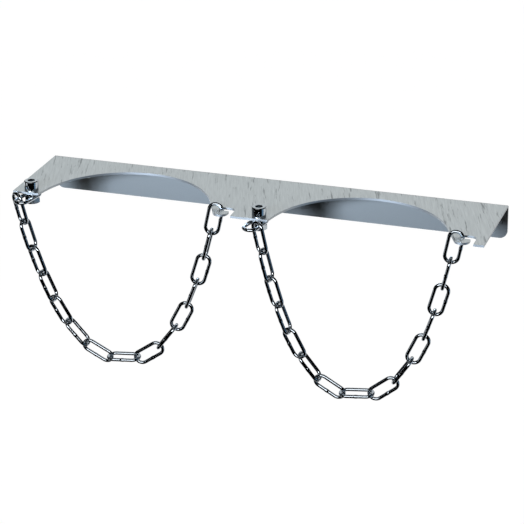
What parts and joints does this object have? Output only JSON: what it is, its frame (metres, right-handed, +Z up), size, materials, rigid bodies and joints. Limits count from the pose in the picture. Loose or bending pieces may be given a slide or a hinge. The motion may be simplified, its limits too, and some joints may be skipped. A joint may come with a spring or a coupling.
{
  "type": "gas cylinder wall bracket",
  "caption": "Folded steel shelf bracket with round bays that gas cylinders stand in, each closed by a welded chain that is bolted at one horn and hooked into a slot at the other.",
  "frame": {"origin": "middle of the flat face that lies against the wall", "axes": "+X along the wall to the viewer's right, +Y into the wall, +Z up"},
  "size_m": [0.5402, 0.1392, 0.2167],
  "materials": {
    "sheet_steel": "light grey coating with a slight sheen",
    "screw_plating": "bright zinc plated steel",
    "washer_plating": "zinc plated steel",
    "nut_plating": "zinc plated steel",
    "chain_plating": "bright zinc plated wire"
  },
  "bodies": {
    "bracket": {"folded_bracket": "sheet_steel", "left_cap_screw": "screw_plating", "left_washer": "washer_plating", "left_anchor_link": "chain_plating", "left_hex_nut": "nut_plating", "right_cap_screw": "screw_plating", "right_washer": "washer_plating", "right_anchor_link": "chain_plating", "right_hex_nut": "nut_plating"},
    "left_chain": {"left_link_01": "chain_plating", "left_link_02": "chain_plating", "left_link_03": "chain_plating", "left_link_04": "chain_plating", "left_link_05": "chain_plating", "left_link_06": "chain_plating", "left_link_07": "chain_plating", "left_link_08": "chain_plating", "left_link_09": "chain_plating", "left_link_10": "chain_plating", "left_link_11": "chain_plating", "left_link_12": "chain_plating", "left_link_13": "chain_plating", "left_link_14": "chain_plating", "left_link_15": "chain_plating"},
    "right_chain": {"right_link_01": "chain_plating", "right_link_02": "chain_plating", "right_link_03": "chain_plating", "right_link_04": "chain_plating", "right_link_05": "chain_plating", "right_link_06": "chain_plating", "right_link_07": "chain_plating", "right_link_08": "chain_plating", "right_link_09": "chain_plating", "right_link_10": "chain_plating", "right_link_11": "chain_plating", "right_link_12": "chain_plating", "right_link_13": "chain_plating", "right_link_14": "chain_plating", "right_link_15": "chain_plating"}
  },
  "joints": [
    {"name": "left_chain_swing", "type": "hinge", "parent": "bracket", "child": "left_chain", "pos_m": [-0.26191, -0.12692, 0.0132], "axis": [0.9945, 0.1004, 0.0296], "range_deg": [-20, 20]},
    {"name": "right_chain_swing", "type": "hinge", "parent": "bracket", "child": "right_chain", "pos_m": [0.02295, -0.12904, 0.0132], "axis": [0.9926, 0.117, 0.0316], "range_deg": [-20, 20]}
  ]
}
